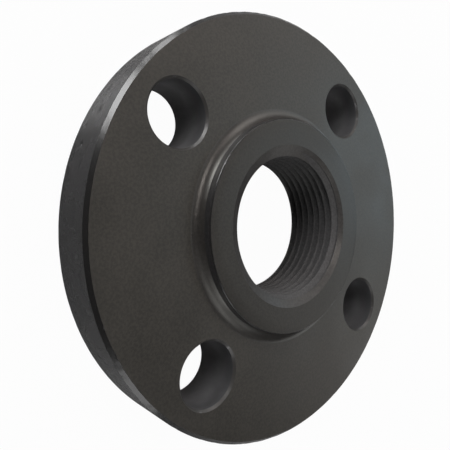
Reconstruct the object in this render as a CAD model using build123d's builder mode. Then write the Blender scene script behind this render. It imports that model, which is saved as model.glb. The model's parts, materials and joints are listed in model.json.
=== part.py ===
from build123d import *
import math
import os

# Threaded pipe flange, forged and turned in one piece. Millimetres, +Z up.
# The part lies as it rests: on its raised gasket face, with the hub upwards.
# The origin is the centre of the raised face, and +Z is the axis of the bore.

# Plate
flange_d = 116.3            # outside diameter of the plate
plate_thickness = 14.3      # plate alone, without the raised face
rim_chamfer = 0.9           # turned edge of the rim on the hub side
back_edge_break = 0.15      # the edge of the gasket side is only deburred

# Raised gasket face
raised_face_d = 63.5
raised_face_height = 1.6
raised_face_break = 0.2

# Hub
hub_d = 58.4                # across the top of the hub
hub_height = 3.5            # above the plate
hub_draft_deg = 3.0         # forging draft left on the wall
hub_edge_break = 0.3
hub_fillet_r = 4.0          # hollow at the foot of the hub
hub_fillet_reach = 3.0      # how far the hollow runs out along the plate

# Bore, drilled for a taper pipe thread
bore_d = 38.1               # tap drill
hub_sink_width = 3.15       # radial width of the countersink the pipe enters by
hub_sink_deg = 120.0        # its included angle
gasket_sink_width = 1.45    # radial width of the countersink in the raised face
gasket_sink_deg = 90.0

# Bolt holes
bolt_edge_distance = 13.7   # from the rim in to the centre of a hole
bolt_count = 4
bolt_hole_d = 16.2
bolt_start_deg = 45.0
bolt_mouth_chamfer = 0.55   # hub side
bolt_back_chamfer = 0.4     # gasket side

# Heights of the faces above the raised face
plate_back = raised_face_height
plate_front = plate_back + plate_thickness
hub_top = plate_front + hub_height

# Radii and depths that follow from the sizes above
flange_r = flange_d / 2
raised_face_r = raised_face_d / 2
hub_r = hub_d / 2
bore_r = bore_d / 2
bolt_circle_r = flange_r - bolt_edge_distance
hub_sink_r = bore_r + hub_sink_width
hub_sink_depth = hub_sink_width / math.tan(math.radians(hub_sink_deg / 2))
gasket_sink_r = bore_r + gasket_sink_width
gasket_sink_depth = gasket_sink_width / math.tan(math.radians(gasket_sink_deg / 2))
fillet_rise = hub_fillet_r - math.sqrt(hub_fillet_r**2 - hub_fillet_reach**2)
wall_height = hub_height - hub_edge_break - fillet_rise
hub_foot_r = hub_r + wall_height * math.tan(math.radians(hub_draft_deg))

with BuildPart() as threaded_flange:
    # The turned blank, bore and both countersinks in one half section
    with BuildSketch(Plane.XZ) as half_section:
        with BuildLine() as outline:
            Polyline(
                (gasket_sink_r, 0),
                (raised_face_r - raised_face_break, 0),
                (raised_face_r, raised_face_break),
                (raised_face_r, plate_back),
                (flange_r - back_edge_break, plate_back),
                (flange_r, plate_back + back_edge_break),
                (flange_r, plate_front - rim_chamfer),
                (flange_r - rim_chamfer, plate_front),
                (hub_foot_r + hub_fillet_reach, plate_front),
            )
            hub_hollow = JernArc(
                start=(hub_foot_r + hub_fillet_reach, plate_front),
                tangent=(-1, 0),
                radius=hub_fillet_r,
                arc_size=-math.degrees(math.asin(hub_fillet_reach / hub_fillet_r)),
            )
            Polyline(
                hub_hollow @ 1,
                (hub_r, hub_top - hub_edge_break),
                (hub_r - hub_edge_break, hub_top),
                (hub_sink_r, hub_top),
                (bore_r, hub_top - hub_sink_depth),
                (bore_r, gasket_sink_depth),
                (gasket_sink_r, 0),
            )
        make_face()
    revolve(axis=Axis.Z)

    # Bolt holes, drilled and lightly countersunk from the hub side
    with Locations(Plane.XY.offset(plate_front)):
        with PolarLocations(bolt_circle_r, bolt_count, start_angle=bolt_start_deg):
            CounterSinkHole(
                radius=bolt_hole_d / 2,
                counter_sink_radius=bolt_hole_d / 2 + bolt_mouth_chamfer,
                counter_sink_angle=90,
            )

    # The same holes with their edges broken on the gasket side
    with Locations(Plane(origin=(0, 0, plate_back), z_dir=(0, 0, -1))):
        with PolarLocations(bolt_circle_r, bolt_count, start_angle=bolt_start_deg):
            CounterSinkHole(
                radius=bolt_hole_d / 2,
                counter_sink_radius=bolt_hole_d / 2 + bolt_back_chamfer,
                counter_sink_angle=90,
            )

threaded_flange.part.label = "threaded_flange"

os.makedirs("parts", exist_ok=True)
export_step(threaded_flange.part, "parts/threaded_flange.step")
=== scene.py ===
"""The looks of a threaded pipe flange, lying on its raised face with the hub upwards.

All sizes are in metres, in the frame of the solid model. One dressed mesh stands for the
solid flange: the turned blank with its worn edges, the tapped taper thread and the bolt holes.
"""

import json
import logging
import math
from dataclasses import dataclass, field
from enum import Enum

import bpy
import numpy as np
from mathutils import Matrix, Vector, noise


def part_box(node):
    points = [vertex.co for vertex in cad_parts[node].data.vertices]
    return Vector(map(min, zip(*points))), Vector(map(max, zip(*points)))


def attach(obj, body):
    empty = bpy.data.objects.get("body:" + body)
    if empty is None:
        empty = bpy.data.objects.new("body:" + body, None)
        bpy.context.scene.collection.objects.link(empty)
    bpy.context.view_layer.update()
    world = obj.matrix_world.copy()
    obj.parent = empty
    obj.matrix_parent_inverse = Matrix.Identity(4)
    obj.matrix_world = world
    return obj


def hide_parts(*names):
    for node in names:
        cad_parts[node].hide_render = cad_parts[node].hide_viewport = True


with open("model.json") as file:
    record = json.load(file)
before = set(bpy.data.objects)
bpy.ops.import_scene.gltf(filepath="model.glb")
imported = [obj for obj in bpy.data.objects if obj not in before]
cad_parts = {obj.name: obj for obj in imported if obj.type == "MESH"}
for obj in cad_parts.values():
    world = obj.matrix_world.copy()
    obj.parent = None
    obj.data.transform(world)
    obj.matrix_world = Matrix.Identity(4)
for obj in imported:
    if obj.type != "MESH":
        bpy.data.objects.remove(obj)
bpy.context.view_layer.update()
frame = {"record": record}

NODE = "threaded_flange"
BODY = "root"
MM = 0.001
INCH = 0.0254
TOUCH = 1e-9

logging.basicConfig(level=logging.INFO, format="%(message)s")
log = logging.getLogger("flange")


class Zone(Enum):
    """The surfaces of the flange, each with a finish of its own."""

    PLATE = 0
    RIM = 1
    EDGE = 2
    HUB_TOP = 3
    HUB_FOOT = 4
    HUB_WALL = 5
    SINK = 6
    THREAD = 7
    HOLE = 8
    GASKET = 9
    BACK = 10
    MOUTH = 11


# Nodes of the materials


class Bench:
    """A material in the making: its node tree, with short calls for the nodes used here."""

    def __init__(self, name: str) -> None:
        """Start an empty material.

        Args:
            name: the material's name.
        """
        self.material = bpy.data.materials.new(name)
        self.material.use_nodes = True
        self.tree = self.material.node_tree
        self.tree.nodes.clear()
        self.output = self.add("ShaderNodeOutputMaterial")
        self.place = self.add("ShaderNodeTexCoord").outputs["Object"]

    def add(self, kind: str, **settings: object) -> bpy.types.Node:
        """Add a node.

        Args:
            kind: Blender's name of the node type.
            settings: properties of the node.

        Returns:
            The new node.
        """
        node = self.tree.nodes.new(kind)
        for key, value in settings.items():
            setattr(node, key, value)
        return node

    def feed(self, socket: bpy.types.NodeSocket, value: object) -> None:
        """Give a socket its value, or a link if the value is another node's output.

        Args:
            socket: the input to set.
            value: a number, a colour or an output.
        """
        if isinstance(value, bpy.types.NodeSocket):
            self.tree.links.new(value, socket)
        else:
            socket.default_value = value

    def sum(self, operation: str, first: object, second: object = 0.0, clamp: bool = False) -> object:
        """Work out one number from two.

        Args:
            operation: the name of the math node's operation.
            first: a number or an output.
            second: a number or an output.
            clamp: True keeps the result from 0 to 1.

        Returns:
            The node's output.
        """
        node = self.add("ShaderNodeMath", operation=operation, use_clamp=clamp)
        self.feed(node.inputs[0], first)
        self.feed(node.inputs[1], second)
        return node.outputs[0]

    def noise(self, scale: float, detail: float = 3.0, rough: float = 0.55) -> object:
        """Fractal noise over the object.

        Args:
            scale: features in a metre.
            detail: octaves.
            rough: how much of each finer octave is kept.

        Returns:
            The noise value's output, about 0.5 on average.
        """
        node = self.add("ShaderNodeTexNoise")
        self.feed(node.inputs["Vector"], self.place)
        node.inputs["Scale"].default_value = scale
        node.inputs["Detail"].default_value = detail
        node.inputs["Roughness"].default_value = rough
        return node.outputs["Fac"]

    def ramp(self, value: object, low: float, high: float) -> object:
        """Spread a value so that low becomes 0 and high becomes 1.

        Args:
            value: the output to spread.
            low: what becomes 0.
            high: what becomes 1.

        Returns:
            The clamped output.
        """
        node = self.add("ShaderNodeMapRange", interpolation_type="SMOOTHSTEP")
        self.feed(node.inputs["Value"], value)
        node.inputs["From Min"].default_value = low
        node.inputs["From Max"].default_value = high
        return node.outputs["Result"]

    def blend(self, share: object, first: object, second: object) -> object:
        """Mix two colours.

        Args:
            share: how much of the second shows.
            first: a colour or an output.
            second: a colour or an output.

        Returns:
            The mixed colour's output.
        """
        node = self.add("ShaderNodeMix", data_type="RGBA")
        self.feed(node.inputs["Factor"], share)
        self.feed(node.inputs[6], first)
        self.feed(node.inputs[7], second)
        return node.outputs[2]

    def between(self, share: object, first: float, second: float) -> object:
        """Mix two numbers.

        Args:
            share: how much of the second shows.
            first: the value at 0.
            second: the value at 1.

        Returns:
            The mixed number's output.
        """
        return self.sum("ADD", self.sum("MULTIPLY", share, second - first), first)

    def radius(self) -> object:
        """Return the distance from the bore's axis."""
        flat = self.add("ShaderNodeVectorMath", operation="MULTIPLY")
        self.feed(flat.inputs[0], self.place)
        flat.inputs[1].default_value = (1.0, 1.0, 0.0)
        length = self.add("ShaderNodeVectorMath", operation="LENGTH")
        self.feed(length.inputs[0], flat.outputs["Vector"])
        return length.outputs["Value"]

    def height(self) -> object:
        """Return the height above the raised face."""
        node = self.add("ShaderNodeSeparateXYZ")
        self.feed(node.inputs[0], self.place)
        return node.outputs["Z"]

    def grooves(self, distance: object, spacing: float) -> object:
        """Tool marks: a wave along a distance.

        Args:
            distance: the output that the marks follow, such as the radius.
            spacing: from one mark to the next.

        Returns:
            The wave's output, from -1 to 1.
        """
        return self.sum("SINE", self.sum("MULTIPLY", distance, 2 * math.pi / spacing))

    def bump(self, height: object, distance: float, under: object = None) -> object:
        """Turn a height into a normal.

        Args:
            height: the output that says how high the surface is.
            distance: how high 1 stands, in metres.
            under: a normal that this one is added to.

        Returns:
            The normal's output.
        """
        node = self.add("ShaderNodeBump")
        self.feed(node.inputs["Height"], height)
        node.inputs["Distance"].default_value = distance
        if under is not None:
            self.feed(node.inputs["Normal"], under)
        return node.outputs["Normal"]

    def surface(self, **sockets: object) -> bpy.types.Material:
        """Finish the material with one principled shader.

        Args:
            sockets: the shader's inputs by name, with _ for a space.

        Returns:
            The finished material.
        """
        shader = self.add("ShaderNodeBsdfPrincipled")
        for key, value in sockets.items():
            self.feed(shader.inputs[key.replace("_", " ")], value)
        self.feed(self.output.inputs["Surface"], shader.outputs["BSDF"])
        return self.material


Colour = tuple[float, float, float, float]


@dataclass(frozen=True)
class Phosphate:
    """Black phosphate on turned steel: brown-grey, matt, a little mottled, with faint tool marks."""

    name: str
    deep: Colour = (0.0118, 0.0103, 0.0084, 1.0)
    light: Colour = (0.0298, 0.0258, 0.0213, 1.0)
    rough: float = 0.44
    rough_spread: float = 0.08
    specular: float = 0.55
    tint: Colour = (1.0, 0.985, 0.93, 1.0)
    cloud_scale: float = 55.0
    speck_scale: float = 1500.0
    speck_share: float = 0.65
    grain_scale: float = 1900.0
    grain_depth: float = 0.016 * MM
    mark_spacing: float = 0.32 * MM
    mark_depth: float = 0.0016 * MM
    along_height: bool = False

    def material(self) -> bpy.types.Material:
        """Build the material.

        Returns:
            The finished material.
        """
        bench = Bench(self.name)
        clouds = bench.ramp(bench.noise(self.cloud_scale, 4.0), 0.35, 0.68)
        specks = bench.ramp(bench.noise(self.speck_scale, 3.0, 0.65), 0.38, 0.62)
        coarse = bench.sum("MULTIPLY", clouds, 1.0 - self.speck_share)
        fine = bench.sum("MULTIPLY", specks, self.speck_share)
        colour = bench.blend(bench.sum("ADD", coarse, fine, clamp=True), self.deep, self.light)
        half = self.rough_spread / 2
        across = bench.height() if self.along_height else bench.radius()
        marks = bench.bump(bench.grooves(across, self.mark_spacing), self.mark_depth)
        grain = bench.bump(bench.noise(self.grain_scale, 3.0, 0.6), self.grain_depth, under=marks)
        return bench.surface(
            Base_Color=colour,
            Roughness=bench.between(clouds, self.rough - half, self.rough + half),
            Specular_IOR_Level=self.specular,
            Specular_Tint=self.tint,
            Normal=grain,
        )


@dataclass(frozen=True)
class DrilledWall:
    """The wall of a bolt hole: matt and black at the mouth, greyer deeper down, partly a thinner finish and
    partly painted light from below.
    """

    name: str
    mouth: Colour = (0.055, 0.0545, 0.0570, 1.0)
    thin_finish_and_painted_light: Colour = (0.160, 0.1585, 0.1630, 1.0)
    black: Colour = (0.0, 0.0, 0.0, 1.0)
    cloud_share: float = 0.22
    cloud_scale: float = 180.0
    thin_finish_and_painted_light_z: float = 8.5 * MM
    mouth_z: float = 14.0 * MM
    rough: float = 0.52
    specular: float = 0.60
    grain_scale: float = 1500.0
    grain_depth: float = 0.010 * MM
    mark_spacing: float = 0.5 * MM
    mark_depth: float = 0.004 * MM

    def material(self) -> bpy.types.Material:
        """Build the material.

        Returns:
            The finished material.
        """
        bench = Bench(self.name)
        # Painted light: the wall is coloured lighter deeper down, partly a thinner finish and partly light
        # that reaches it through the open hole.
        wall = bench.blend(bench.ramp(bench.height(), self.thin_finish_and_painted_light_z, self.mouth_z), self.thin_finish_and_painted_light, self.mouth)
        clouds = bench.ramp(bench.noise(self.cloud_scale, 4.0, 0.6), 0.35, 0.65)
        colour = bench.blend(bench.between(clouds, 0.0, self.cloud_share), wall, self.black)
        marks = bench.bump(bench.grooves(bench.height(), self.mark_spacing), self.mark_depth)
        grain = bench.bump(bench.noise(self.grain_scale, 3.0, 0.6), self.grain_depth, under=marks)
        return bench.surface(
            Base_Color=colour,
            Roughness=self.rough,
            Specular_IOR_Level=self.specular,
            Normal=grain,
        )


@dataclass(frozen=True)
class WornEdge:
    """An edge where handling has rubbed the black off, in patches, down to bright steel."""

    name: str
    black: Colour = (0.0125, 0.0120, 0.0118, 1.0)
    steel: Colour = (0.42, 0.42, 0.44, 1.0)
    patch_scale: float = 170.0
    worn_from: float = 0.64
    worn_to: float = 0.80
    metal_share: float = 0.9
    rough: float = 0.24
    steel_rough: float = 0.30
    grain_scale: float = 1500.0
    grain_depth: float = 0.010 * MM

    def material(self) -> bpy.types.Material:
        """Build the material.

        Returns:
            The finished material.
        """
        bench = Bench(self.name)
        worn = bench.ramp(bench.noise(self.patch_scale, 5.0, 0.62), self.worn_from, self.worn_to)
        return bench.surface(
            Base_Color=bench.blend(worn, self.black, self.steel),
            Metallic=bench.sum("MULTIPLY", worn, self.metal_share),
            Roughness=bench.between(worn, self.rough, self.steel_rough),
            Normal=bench.bump(bench.noise(self.grain_scale, 3.0, 0.6), self.grain_depth),
        )


@dataclass(frozen=True)
class ShadedRim:
    """The outside of the plate: coarsely turned steel, coloured darker than the plate as painted shade,
    with shallow pits and scuffs.
    """

    name: str
    # Painted shade: these tones are about half as light as the plate's, so the rim's sides look shaded.
    deep: Colour = (0.0055, 0.0052, 0.0059, 1.0)
    light: Colour = (0.0130, 0.0124, 0.0140, 1.0)
    scuff: Colour = (0.12, 0.118, 0.125, 1.0)
    cloud_scale: float = 120.0
    scuff_scale: float = 900.0
    scuff_metal: float = 0.5
    smooth: float = 0.24
    rough: float = 0.32
    specular: float = 0.45
    mark_spacing: float = 0.30 * MM
    mark_depth: float = 0.045 * MM
    pit_scale: float = 700.0
    pit_depth: float = 0.03 * MM
    grain_scale: float = 2200.0
    grain_depth: float = 0.006 * MM

    def material(self) -> bpy.types.Material:
        """Build the material.

        Returns:
            The finished material.
        """
        bench = Bench(self.name)
        clouds = bench.ramp(bench.noise(self.cloud_scale, 5.0, 0.62), 0.36, 0.70)
        scuffs = bench.ramp(bench.noise(self.scuff_scale, 4.0, 0.7), 0.63, 0.76)
        marks = bench.bump(bench.grooves(bench.height(), self.mark_spacing), self.mark_depth)
        hollows = bench.ramp(bench.noise(self.pit_scale, 4.0, 0.65), 0.25, 0.42)
        pits = bench.bump(hollows, self.pit_depth, under=marks)
        grain = bench.bump(bench.noise(self.grain_scale, 3.0, 0.6), self.grain_depth, under=pits)
        return bench.surface(
            Base_Color=bench.blend(scuffs, bench.blend(clouds, self.deep, self.light), self.scuff),
            Metallic=bench.sum("MULTIPLY", scuffs, self.scuff_metal),
            Roughness=bench.between(clouds, self.smooth, self.rough),
            Specular_IOR_Level=self.specular,
            Normal=grain,
        )


# Meshes


@dataclass
class Turning:
    """A closed outline that is turned about the axis, built as rows of points with a zone each."""

    points: list[tuple[float, float]] = field(default_factory=list)
    zones: list[Zone] = field(default_factory=list)

    def start(self, r: float, z: float) -> None:
        """Set the first point."""
        self.points = [(r, z)]

    def line(self, r: float, z: float, zone: Zone, rows: int = 1) -> None:
        """Run straight to a point.

        Args:
            r: its radius.
            z: its height.
            zone: the surface that the line turns out.
            rows: how many rows of faces it has.
        """
        r0, z0 = self.points[-1]
        for step in range(1, rows + 1):
            share = step / rows
            self.points.append((r0 + (r - r0) * share, z0 + (z - z0) * share))
            self.zones.append(zone)

    def arc(
        self,
        centre: tuple[float, float],
        radius: float,
        start: float,
        end: float,
        zone: Zone,
        rows: int,
    ) -> None:
        """Run along an arc from the last point, which lies at its start.

        Args:
            centre: the arc's centre, radius and height.
            radius: its radius.
            start: the angle it starts at, in degrees, 0 outwards and 90 up.
            end: the angle it ends at.
            zone: the surface that it turns out.
            rows: how many rows of faces it has.
        """
        for step in range(1, rows + 1):
            angle = math.radians(start + (end - start) * step / rows)
            r, z = centre[0] + radius * math.cos(angle), centre[1] + radius * math.sin(angle)
            self.points.append((r, z))
            self.zones.append(zone)


def solid_mesh(
    name: str,
    points: np.ndarray,
    faces: list,
    zones: list[Zone],
    finishes: list,
) -> bpy.types.Object:
    """Make an object from points and faces.

    Args:
        name: the object's name.
        points: one row of three coordinates for each point.
        faces: tuples of point numbers.
        zones: one zone for each face.
        finishes: the materials, in the order of the zones.

    Returns:
        The new object, linked to the scene.
    """
    mesh = bpy.data.meshes.new(name)
    mesh.from_pydata(points.tolist(), [], faces)
    for material in finishes:
        mesh.materials.append(material)
    mesh.polygons.foreach_set("material_index", [zone.value for zone in zones])
    mesh.update()
    piece = bpy.data.objects.new(name, mesh)
    bpy.context.scene.collection.objects.link(piece)
    return piece


def rings_to_faces(rows: int, around: int) -> list[tuple[int, int, int, int]]:
    """Faces of a grid that closes both ways, such as a ring turned from a closed outline.

    Args:
        rows: points in the outline.
        around: copies of the outline round the axis.

    Returns:
        The faces, one outline stretch after the other for each step round.
    """
    faces = []
    for step in range(around):
        after = (step + 1) % around
        for row in range(rows):
            up = (row + 1) % rows
            faces.append((step * rows + row, after * rows + row, after * rows + up, step * rows + up))
    return faces


@dataclass
class FlangeSizes:
    """The flange's sizes: those that the model states are read from it, the rest are named here."""

    outer_r: float
    height: float
    plate_front: float
    bolt_circle_r: float
    bolt_hole_r: float
    plate_back: float = 1.6 * MM
    raised_face_r: float = 31.75 * MM
    raised_face_break: float = 0.2 * MM
    back_break: float = 0.15 * MM
    rim_chamfer: float = 0.9 * MM
    hub_r: float = 29.2 * MM
    hub_draft: float = math.radians(3.0)
    hub_round: float = 0.3 * MM
    hub_fillet_r: float = 4.0 * MM
    hub_fillet_reach: float = 3.0 * MM
    sink_r: float = 22.2 * MM
    sink_slope: float = math.radians(62.0)
    gasket_sink_r: float = 20.5 * MM
    core_r: float = 16.0 * MM
    mouth_chamfer: float = 0.55 * MM
    back_mouth_chamfer: float = 0.4 * MM

    @classmethod
    def from_frame(cls, record: dict) -> "FlangeSizes":
        """Read the sizes that the model states.

        Args:
            record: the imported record.

        Returns:
            The sizes.
        """
        low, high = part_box(NODE)
        mounts = {mount["name"]: mount for mount in record["mounts"]}
        bolts = mounts["bolt_holes"]["dims"]
        return cls(
            outer_r=high.x,
            height=high.z,
            plate_front=mounts["nut_face"]["pos_m"][2],
            bolt_circle_r=bolts["pcd_mm"] / 2 * MM,
            bolt_hole_r=bolts["hole_r_mm"] * MM,
        )


@dataclass(frozen=True)
class Nick:
    """A small dent knocked into the rim."""

    angle: float
    height: float
    radius: float
    depth: float

    def dip(self, place: Vector) -> float:
        """Measure the nick at a point of the rim.

        Args:
            place: the point.

        Returns:
            How deep the nick is there, and 0 outside it.
        """
        r = math.hypot(place.x, place.y)
        angle = math.radians(self.angle)
        middle = Vector((r * math.cos(angle), r * math.sin(angle), self.height))
        away = (place - middle).length / self.radius
        return self.depth * max(0.0, 1.0 - away * away) ** 2


@dataclass
class Blank:
    """The turned ring that the thread and the bolt holes are cut from, with the wear of its rim."""

    sizes: FlangeSizes
    around: int = 600
    serration_pitch: float = 0.5 * MM
    serration_depth: float = 0.05 * MM
    swell: float = 0.008 * MM
    swell_scale: float = 90.0
    tear: float = 0.035 * MM
    tear_scale: float = 420.0
    ragged: float = 0.05 * MM
    seed: int = 7
    rim_rows: int = 40
    nicks: tuple[Nick, ...] = (
        Nick(145.0, 8.6 * MM, 1.1 * MM, 0.32 * MM),
        Nick(138.5, 6.0 * MM, 1.0 * MM, 0.28 * MM),
        Nick(153.0, 6.7 * MM, 1.0 * MM, 0.30 * MM),
        Nick(141.5, 10.4 * MM, 0.8 * MM, 0.22 * MM),
        Nick(148.5, 5.0 * MM, 0.7 * MM, 0.18 * MM),
        Nick(133.0, 9.2 * MM, 0.9 * MM, 0.22 * MM),
        Nick(158.0, 9.6 * MM, 0.8 * MM, 0.18 * MM),
        Nick(200.5, 7.0 * MM, 0.9 * MM, 0.24 * MM),
        Nick(52.0, 8.0 * MM, 1.0 * MM, 0.25 * MM),
        Nick(301.0, 6.2 * MM, 0.9 * MM, 0.22 * MM),
    )

    def outline(self) -> Turning:
        """Draw the closed half section, from the gasket side round the rim to the bore.

        Returns:
            The outline.
        """
        s = self.sizes
        turning = Turning()
        turning.start(s.gasket_sink_r, 0.0)
        self.serrations(turning)
        turning.line(s.raised_face_r, s.raised_face_break, Zone.GASKET)
        turning.line(s.raised_face_r, s.plate_back, Zone.BACK, 2)
        turning.line(s.outer_r - s.back_break, s.plate_back, Zone.BACK, 4)
        turning.line(s.outer_r, s.plate_back + s.back_break, Zone.EDGE, 2)
        turning.line(s.outer_r, s.plate_front - s.rim_chamfer, Zone.RIM, self.rim_rows)
        turning.line(s.outer_r - s.rim_chamfer, s.plate_front, Zone.EDGE, 4)
        rise = s.hub_fillet_r - math.sqrt(s.hub_fillet_r**2 - s.hub_fillet_reach**2)
        wall = s.height - s.plate_front - rise - s.hub_round
        foot_r = s.hub_r + wall * math.tan(s.hub_draft)
        turning.line(foot_r + s.hub_fillet_reach + 0.3 * MM, s.plate_front, Zone.PLATE, 3)
        turning.line(foot_r + s.hub_fillet_reach, s.plate_front, Zone.PLATE)
        sweep = math.degrees(math.asin(s.hub_fillet_reach / s.hub_fillet_r))
        centre = (foot_r + s.hub_fillet_reach, s.plate_front + s.hub_fillet_r)
        turning.arc(centre, s.hub_fillet_r, -90, -90 - sweep, Zone.HUB_FOOT, 10)
        turning.line(s.hub_r, s.height - s.hub_round, Zone.HUB_WALL, 3)
        turning.arc((s.hub_r - s.hub_round, s.height - s.hub_round), s.hub_round, 0, 90, Zone.EDGE, 4)
        turning.line(s.sink_r, s.height, Zone.HUB_TOP, 2)
        turning.line(s.core_r, s.height - (s.sink_r - s.core_r) / math.tan(s.sink_slope), Zone.SINK, 4)
        turning.line(s.core_r, s.gasket_sink_r - s.core_r, Zone.THREAD)
        turning.line(s.gasket_sink_r, 0.0, Zone.SINK, 3)
        turning.points.pop()
        return turning

    def serrations(self, turning: Turning) -> None:
        """Cut the raised face's fine concentric grooves.

        Args:
            turning: the outline, which stands at the raised face's inner edge.
        """
        s = self.sizes
        edge = s.raised_face_r - s.raised_face_break
        count = int((edge - s.gasket_sink_r) / self.serration_pitch)
        first = edge - count * self.serration_pitch
        turning.line(first, 0.0, Zone.GASKET)
        for groove in range(count):
            start = first + groove * self.serration_pitch
            turning.line(start + self.serration_pitch / 2, self.serration_depth, Zone.GASKET)
            turning.line(start + self.serration_pitch, 0.0, Zone.GASKET)

    def build(self, finishes: list) -> bpy.types.Object:
        """Turn the outline into a closed ring and wear its rim.

        Args:
            finishes: the materials, in the order of the zones.

        Returns:
            The ring.
        """
        turning = self.outline()
        rows = len(turning.points)
        outline = np.array(turning.points)
        angles = np.arange(self.around) * (2 * math.pi / self.around)
        points = np.empty((self.around, rows, 3))
        points[:, :, 0] = np.cos(angles)[:, None] * outline[None, :, 0]
        points[:, :, 1] = np.sin(angles)[:, None] * outline[None, :, 0]
        points[:, :, 2] = outline[None, :, 1]
        self.wear(points, turning)
        faces = rings_to_faces(rows, self.around)
        zones = turning.zones * self.around
        return solid_mesh("flange_blank", points.reshape(-1, 3), faces, zones, finishes)

    def wear(self, points: np.ndarray, turning: Turning) -> None:
        """Make the rim and its chamfer uneven, always inwards.

        Args:
            points: the ring's points, by step round and by row; changed in place.
            turning: the outline that they follow.
        """
        s = self.sizes
        offset = Vector((self.seed, 0.0, 0.0))
        for row, (r, z) in enumerate(turning.points):
            if r < s.outer_r - s.rim_chamfer - TOUCH or z < s.plate_back + TOUCH:
                continue
            on_chamfer = z > s.plate_front - s.rim_chamfer - TOUCH
            for step in range(self.around):
                place = Vector(points[step, row])
                slow = noise.noise(place * self.swell_scale + offset)
                quick = noise.fractal(place * self.tear_scale + offset, 0.8, 2.0, 3)
                dip = self.swell * (1.0 + slow) + self.tear * max(0.0, quick)
                if on_chamfer:
                    dip += self.ragged * max(0.0, slow + quick)
                else:
                    dip += max(nick.dip(place) for nick in self.nicks)
                points[step, row, 0] -= dip * place.x / r
                points[step, row, 1] -= dip * place.y / r


@dataclass
class TaperThread:
    """A right-hand taper pipe thread, as the tap that cuts it."""

    sizes: FlangeSizes
    pitch: float = INCH / 11.5
    crest_r: float = 19.25 * MM
    taper: float = 1 / 32
    depth_share: float = 0.76
    around: int = 240
    start_turn: float = 0.84
    spare_turns: int = 3

    def ridge(self) -> list[tuple[float, float]]:
        """One turn of the thread: share of the pitch, and depth from crest (0) to root (1).

        Returns:
            The points, with rounded crests and roots.
        """
        flat = 0.05
        soft = 0.045
        return [
            (0.0, 0.0),
            (flat, 0.0),
            (flat + soft, 0.07),
            (0.5 - flat - soft, 0.93),
            (0.5 - flat, 1.0),
            (0.5, 1.0),
            (0.5 + flat, 1.0),
            (0.5 + flat + soft, 0.93),
            (1.0 - flat - soft, 0.07),
            (1.0 - flat, 0.0),
        ]

    def tap(self, finishes: list) -> bpy.types.Object:
        """Build the tap: a closed, tapered screw that passes both ends of the bore.

        Args:
            finishes: the materials, in the order of the zones.

        Returns:
            The tap.
        """
        ridge = self.ridge()
        per_turn = len(ridge)
        low = (self.start_turn - self.spare_turns) * self.pitch
        turns = math.ceil(self.sizes.height / self.pitch) + 2 * self.spare_turns
        rows = turns * per_turn + 1
        share = np.array([ridge[row % per_turn][0] + row // per_turn for row in range(rows)])
        depth = np.array([ridge[row % per_turn][1] for row in range(rows)]) * self.depth_share * self.pitch
        angles = np.arange(self.around) * (2 * math.pi / self.around)
        z = low + (share[None, :] + (np.arange(self.around) / self.around)[:, None]) * self.pitch
        r = self.crest_r - (self.sizes.height - z) * self.taper + depth[None, :]
        points = np.empty((self.around, rows, 3))
        points[:, :, 0] = r * np.cos(angles)[:, None]
        points[:, :, 1] = r * np.sin(angles)[:, None]
        points[:, :, 2] = z
        seam_z = low + (share + 1.0) * self.pitch
        seam_r = self.crest_r - (self.sizes.height - seam_z) * self.taper + depth
        seam = np.stack([seam_r, 0 * share, seam_z], axis=1)
        return self.close(points, seam, per_turn, finishes)

    def close(
        self,
        points: np.ndarray,
        seam: np.ndarray,
        per_turn: int,
        finishes: list,
    ) -> bpy.types.Object:
        """Join the screw to itself along its seam and cap both ends.

        Args:
            points: the screw's points, by step round and by row.
            seam: the column that follows the last step, a turn higher than the first.
            per_turn: rows in one turn, which the seam climbs.
            finishes: the materials, in the order of the zones.

        Returns:
            The closed tap.
        """
        around, rows = points.shape[:2]
        extra = seam[rows - per_turn:]
        places = np.vstack([points.reshape(-1, 3), extra])

        def number(step: int, row: int) -> int:
            """Return the number of a point, counting the seam as the first column a turn higher."""
            if step < around:
                return step * rows + row
            if row + per_turn < rows:
                return row + per_turn
            return around * rows + row - (rows - per_turn)

        faces = [
            (number(step, row), number(step + 1, row), number(step + 1, row + 1), number(step, row + 1))
            for step in range(around)
            for row in range(rows - 1)
        ]
        foot = [number(step, 0) for step in range(around + 1)]
        foot += [number(0, row) for row in range(per_turn - 1, 0, -1)]
        head = [number(step, rows - 1) for step in range(around + 1)]
        head += [number(around, row) for row in range(rows - 2, rows - 1 - per_turn, -1)]
        low, high = len(places), len(places) + 1
        ends = [[0.0, 0.0, places[foot, 2].mean()], [0.0, 0.0, places[head, 2].mean()]]
        places = np.vstack([places, ends])
        faces += [(low, foot[(i + 1) % len(foot)], foot[i]) for i in range(len(foot))]
        faces += [(high, head[i], head[(i + 1) % len(head)]) for i in range(len(head))]
        return solid_mesh("thread_tap", places, faces, [Zone.THREAD] * len(faces), finishes)


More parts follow.
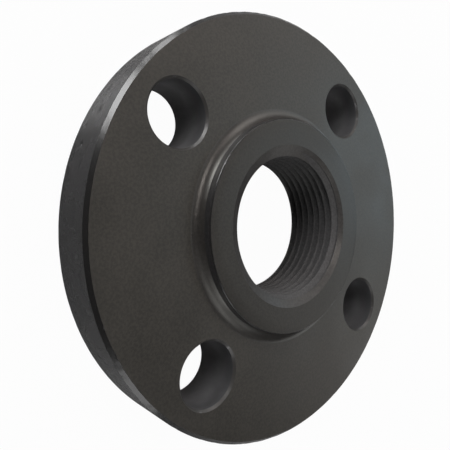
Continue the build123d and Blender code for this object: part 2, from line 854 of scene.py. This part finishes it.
@dataclass
class BoltHoles:
    """The ring of bolt holes, as the drills that cut them, with their chamfered mouths."""

    sizes: FlangeSizes
    count: int = 4
    start: float = math.radians(45.0)
    around: int = 96
    clear: float = 1.0 * MM

    def drill(self, index: int, finishes: list) -> bpy.types.Object:
        """Build one drill, a closed turned solid that flares at both faces of the plate.

        Args:
            index: which hole.
            finishes: the materials, in the order of the zones.

        Returns:
            The drill.
        """
        s = self.sizes
        r = s.bolt_hole_r
        top, back = s.mouth_chamfer, s.back_mouth_chamfer
        outline = [
            (r + back + self.clear, s.plate_back - self.clear),
            (r, s.plate_back + back),
            (r, s.plate_front - top),
            (r + top + self.clear, s.plate_front + self.clear),
        ]
        zones = [Zone.MOUTH, Zone.HOLE, Zone.MOUTH]
        angle = self.start + index * 2 * math.pi / self.count
        centre = np.array([s.bolt_circle_r * math.cos(angle), s.bolt_circle_r * math.sin(angle), 0.0])
        turns = np.arange(self.around) * (2 * math.pi / self.around)
        rows = len(outline)
        points = [
            centre + np.array([radius * math.cos(turn), radius * math.sin(turn), z])
            for turn in turns
            for radius, z in outline
        ]
        faces, face_zones = [], []
        for step in range(self.around):
            here, after = step * rows, (step + 1) % self.around * rows
            for row in range(rows - 1):
                faces.append((here + row, after + row, after + row + 1, here + row + 1))
                face_zones.append(zones[row])
        faces.append(tuple(step * rows for step in reversed(range(self.around))))
        faces.append(tuple(step * rows + rows - 1 for step in range(self.around)))
        face_zones += [Zone.MOUTH, Zone.MOUTH]
        return solid_mesh(f"bolt_drill_{index + 1}", np.array(points), faces, face_zones, finishes)


@dataclass
class Flange:
    """The dressed flange: the blank, tapped and drilled, with a finish on each surface."""

    sizes: FlangeSizes
    sharp_angle: float = math.radians(20.0)

    def finishes(self) -> list[bpy.types.Material]:
        """Make one material for each zone.

        Returns:
            The materials, in the order of the zones.
        """
        plate = Phosphate("plate_phosphate").material()
        hub = Phosphate(
            "hub_phosphate",
            deep=(0.0105, 0.0093, 0.0080, 1.0),
            light=(0.0250, 0.0222, 0.0190, 1.0),
            mark_spacing=0.28 * MM,
            specular=0.43,
        ).material()
        foot = Phosphate(
            "hub_foot_phosphate",
            deep=(0.0150, 0.0136, 0.0126, 1.0),
            light=(0.0270, 0.0245, 0.0230, 1.0),
            rough=0.31,
            specular=0.62,
            grain_depth=0.006 * MM,
        ).material()
        wall = Phosphate(
            "hub_wall_phosphate",
            deep=(0.0140, 0.0135, 0.0140, 1.0),
            light=(0.0270, 0.0260, 0.0270, 1.0),
            rough=0.38,
            specular=0.70,
            grain_depth=0.008 * MM,
            along_height=True,
        ).material()
        edge = WornEdge("worn_edge").material()
        mouth = WornEdge(
            "hole_mouth_edge",
            black=(0.036, 0.034, 0.032, 1.0),
            worn_from=0.60,
            rough=0.36,
        ).material()
        # Painted shade: the rim is coloured darker than the plate.
        rim = ShadedRim("rim_painted_shade").material()
        # Painted light: the countersink is coloured about twice as light as the plate, standing in for
        # light falling into it.
        sink = Phosphate(
            "countersink_painted_light",
            deep=(0.0330, 0.0310, 0.0300, 1.0),
            light=(0.0570, 0.0540, 0.0520, 1.0),
            rough=0.32,
            specular=0.30,
            mark_spacing=0.2 * MM,
            grain_depth=0.008 * MM,
        ).material()
        # Painted light: the thread is coloured several times lighter than the plate, standing in for light
        # reaching the bore from below.
        thread = Phosphate(
            "thread_painted_light",
            deep=(0.0520, 0.0510, 0.0515, 1.0),
            light=(0.0830, 0.0810, 0.0820, 1.0),
            rough=0.40,
            specular=0.12,
            mark_depth=0.0,
        ).material()
        # Painted light: this wall's lighter colour deeper down is partly a thinner finish and partly
        # painted light.
        hole = DrilledWall("drilled_phosphate_painted_light").material()
        gasket = Phosphate("gasket_face_phosphate", rough=0.40, mark_depth=0.0).material()
        back = Phosphate("back_phosphate", rough=0.48).material()
        by_zone = {
            Zone.PLATE: plate,
            Zone.RIM: rim,
            Zone.EDGE: edge,
            Zone.HUB_TOP: hub,
            Zone.HUB_FOOT: foot,
            Zone.HUB_WALL: wall,
            Zone.SINK: sink,
            Zone.THREAD: thread,
            Zone.HOLE: hole,
            Zone.GASKET: gasket,
            Zone.BACK: back,
            Zone.MOUTH: mouth,
        }
        return [by_zone[zone] for zone in Zone]

    def cut(self, piece: bpy.types.Object, tool: bpy.types.Object) -> None:
        """Take a closed tool out of a closed piece, and remove the tool.

        Args:
            piece: what is cut; its mesh is replaced.
            tool: what is taken out.
        """
        modifier = piece.modifiers.new("cut", "BOOLEAN")
        modifier.operation = "DIFFERENCE"
        modifier.solver = "MANIFOLD"
        modifier.object = tool
        graph = bpy.context.evaluated_depsgraph_get()
        result = bpy.data.meshes.new_from_object(piece.evaluated_get(graph))
        piece.modifiers.clear()
        spent = piece.data
        piece.data = result
        bpy.data.meshes.remove(spent)
        spent_tool = tool.data
        bpy.data.objects.remove(tool)
        bpy.data.meshes.remove(spent_tool)

    def build(self) -> bpy.types.Object:
        """Make the dressed flange and let it stand for the solid one.

        Returns:
            The piece.
        """
        finishes = self.finishes()
        piece = Blank(self.sizes).build(finishes)
        self.cut(piece, TaperThread(self.sizes).tap(finishes))
        holes = BoltHoles(self.sizes)
        for index in range(holes.count):
            self.cut(piece, holes.drill(index, finishes))
        piece.name = "dressed_flange"
        piece.data.name = "dressed_flange"
        piece.data.shade_smooth()
        piece.data.set_sharp_from_angle(angle=self.sharp_angle)
        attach(piece, BODY)
        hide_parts(NODE)
        return piece


# The stage


@dataclass(frozen=True)
class Softbox:
    """A square area lamp that looks at the flange."""

    name: str
    azimuth: float
    elevation: float
    distance: float
    width: float
    radiance: float
    colour: tuple[float, float, float] = (1.0, 1.0, 1.0)

    def build(self, aim: Vector) -> bpy.types.Object:
        """Hang the lamp.

        Args:
            aim: the point that it looks at.

        Returns:
            The lamp.
        """
        a, e = math.radians(self.azimuth), math.radians(self.elevation)
        away = Vector((math.cos(a) * math.cos(e), math.sin(a) * math.cos(e), math.sin(e)))
        data = bpy.data.lights.new(self.name, "AREA")
        data.size = self.width
        data.energy = self.radiance * math.pi * self.width**2
        data.color = self.colour
        lamp = bpy.data.objects.new(self.name, data)
        lamp.location = aim + away * self.distance
        lamp.rotation_mode = "QUATERNION"
        lamp.rotation_quaternion = away.to_track_quat("Z", "Y")
        bpy.context.scene.collection.objects.link(lamp)
        return lamp


@dataclass(frozen=True)
class Studio:
    """A floor and a room that show white, a ring of soft lamps, and the camera of the picture."""

    eye: Vector = Vector((-92.65 * MM, 18.39 * MM, 102.93 * MM))
    ahead: Vector = Vector((0.63205, -0.07771, -0.77102))
    up: Vector = Vector((0.13151, 0.99128, 0.00790))
    lens: float = 36.4
    shift: tuple[float, float] = (0.0045, -0.0529)
    floor_size: float = 6.0
    floor_colour: Colour = (0.50, 0.50, 0.50, 1.0)
    white_share: float = 0.97
    mirrored_share: float = 0.03
    world_light: float = 0.06
    world_dark: float = 0.03
    dark_side: Vector = Vector((-0.88, 0.05, 0.45))
    dark_from: float = 0.35
    dark_to: float = 0.90
    lamps: tuple[Softbox, ...] = (
        Softbox("upper_left_high", 122, 30, 0.55, 0.18, 7.9),
        Softbox("upper_left_low", 120, 12, 0.55, 0.22, 12.0),
        Softbox("upper_side", 93, 10, 0.55, 0.15, 8.0),
        Softbox("crown", 83, 73, 0.80, 0.18, 8.8, (1.00, 0.94, 0.92)),
        Softbox("lower_left_low", -120, 10, 0.60, 0.22, 2.6),
        Softbox("lower_left", -120, 30, 0.60, 0.24, 1.7),
        Softbox("right_lower", -30, 30, 0.60, 0.24, 1.45),
        Softbox("right", 0, 30, 0.60, 0.24, 2.0, (0.74, 0.90, 1.00)),
        Softbox("right_upper", 30, 30, 0.60, 0.24, 1.5),
        Softbox("upper_right", 60, 38, 0.60, 0.28, 3.0, (1.00, 0.93, 0.91)),
        Softbox("below_high", -90, 52, 0.70, 0.34, 1.7),
        Softbox("right_high", 0, 52, 0.70, 0.34, 1.0),
        Softbox("bottom_low", -90, 20, 0.60, 0.22, 1.0),
    )

    def floor(self) -> bpy.types.Object:
        """Lay the floor under the raised face.

        Returns:
            The floor.
        """
        half = self.floor_size / 2
        mesh = bpy.data.meshes.new("floor")
        corners = [(-half, -half, 0), (half, -half, 0), (half, half, 0), (-half, half, 0)]
        mesh.from_pydata(corners, [], [(0, 1, 2, 3)])
        bench = Bench("floor_white")
        path = bench.add("ShaderNodeLightPath")
        shown = bench.sum("MAXIMUM", path.outputs["Is Camera Ray"], path.outputs["Is Transmission Ray"])
        mirrored = bench.sum("MULTIPLY", path.outputs["Is Glossy Ray"], self.mirrored_share)
        share = bench.sum("MAXIMUM", bench.sum("MULTIPLY", shown, self.white_share), mirrored)
        diffuse = bench.add("ShaderNodeBsdfDiffuse")
        diffuse.inputs["Color"].default_value = self.floor_colour
        glow = bench.add("ShaderNodeEmission")
        glow.inputs["Strength"].default_value = 1.0
        mix = bench.add("ShaderNodeMixShader")
        bench.feed(mix.inputs[0], share)
        bench.feed(mix.inputs[1], diffuse.outputs[0])
        bench.feed(mix.inputs[2], glow.outputs[0])
        bench.feed(bench.output.inputs["Surface"], mix.outputs[0])
        mesh.materials.append(bench.material)
        floor = bpy.data.objects.new("floor", mesh)
        bpy.context.scene.collection.objects.link(floor)
        return floor

    def world(self) -> None:
        """Fill the room with faint soft light, dimmer on the camera's side, and show it as white."""
        world = bpy.data.worlds.new("studio")
        world.use_nodes = True
        bpy.context.scene.world = world
        tree = world.node_tree
        ground = tree.nodes["Background"]
        place = tree.nodes.new("ShaderNodeTexCoord")
        towards = tree.nodes.new("ShaderNodeVectorMath")
        towards.operation = "DOT_PRODUCT"
        towards.inputs[1].default_value = self.dark_side.normalized()
        tree.links.new(place.outputs["Generated"], towards.inputs[0])
        strength = tree.nodes.new("ShaderNodeMapRange")
        strength.interpolation_type = "SMOOTHSTEP"
        strength.inputs["From Min"].default_value = self.dark_from
        strength.inputs["From Max"].default_value = self.dark_to
        strength.inputs["To Min"].default_value = self.world_light
        strength.inputs["To Max"].default_value = self.world_dark
        tree.links.new(towards.outputs["Value"], strength.inputs["Value"])
        path = tree.nodes.new("ShaderNodeLightPath")
        shown = tree.nodes.new("ShaderNodeMix")
        tree.links.new(path.outputs["Is Camera Ray"], shown.inputs["Factor"])
        tree.links.new(strength.outputs["Result"], shown.inputs["A"])
        shown.inputs["B"].default_value = self.white_share
        tree.links.new(shown.outputs["Result"], ground.inputs["Strength"])
        ground.inputs["Color"].default_value = (1.0, 1.0, 1.0, 1.0)

    def camera(self) -> bpy.types.Object:
        """Set the camera where the picture was taken from.

        Returns:
            The camera.
        """
        data = bpy.data.cameras.new("camera")
        data.sensor_width = 36.0
        data.lens = self.lens
        data.shift_x, data.shift_y = self.shift
        data.clip_start = 0.01
        data.clip_end = 20.0
        camera = bpy.data.objects.new("camera", data)
        back = -self.ahead.normalized()
        right = self.up.cross(back).normalized()
        upright = back.cross(right)
        turn = Matrix((right, upright, back)).transposed()
        camera.matrix_world = Matrix.Translation(self.eye) @ turn.to_4x4()
        bpy.context.scene.collection.objects.link(camera)
        bpy.context.scene.camera = camera
        return camera

    def build(self) -> None:
        """Set the whole stage."""
        aim = Vector((0.0, 0.0, 0.01))
        self.floor()
        self.world()
        self.camera()
        for lamp in self.lamps:
            lamp.build(aim)
        bpy.context.scene.view_settings.view_transform = "Standard"


def main() -> None:
    """Dress the flange and set the stage."""
    sizes = FlangeSizes.from_frame(frame["record"])
    piece = Flange(sizes).build()
    log.info("%s: %d faces", piece.name, len(piece.data.polygons))
    Studio().build()


if __name__ == "__main__":
    main()
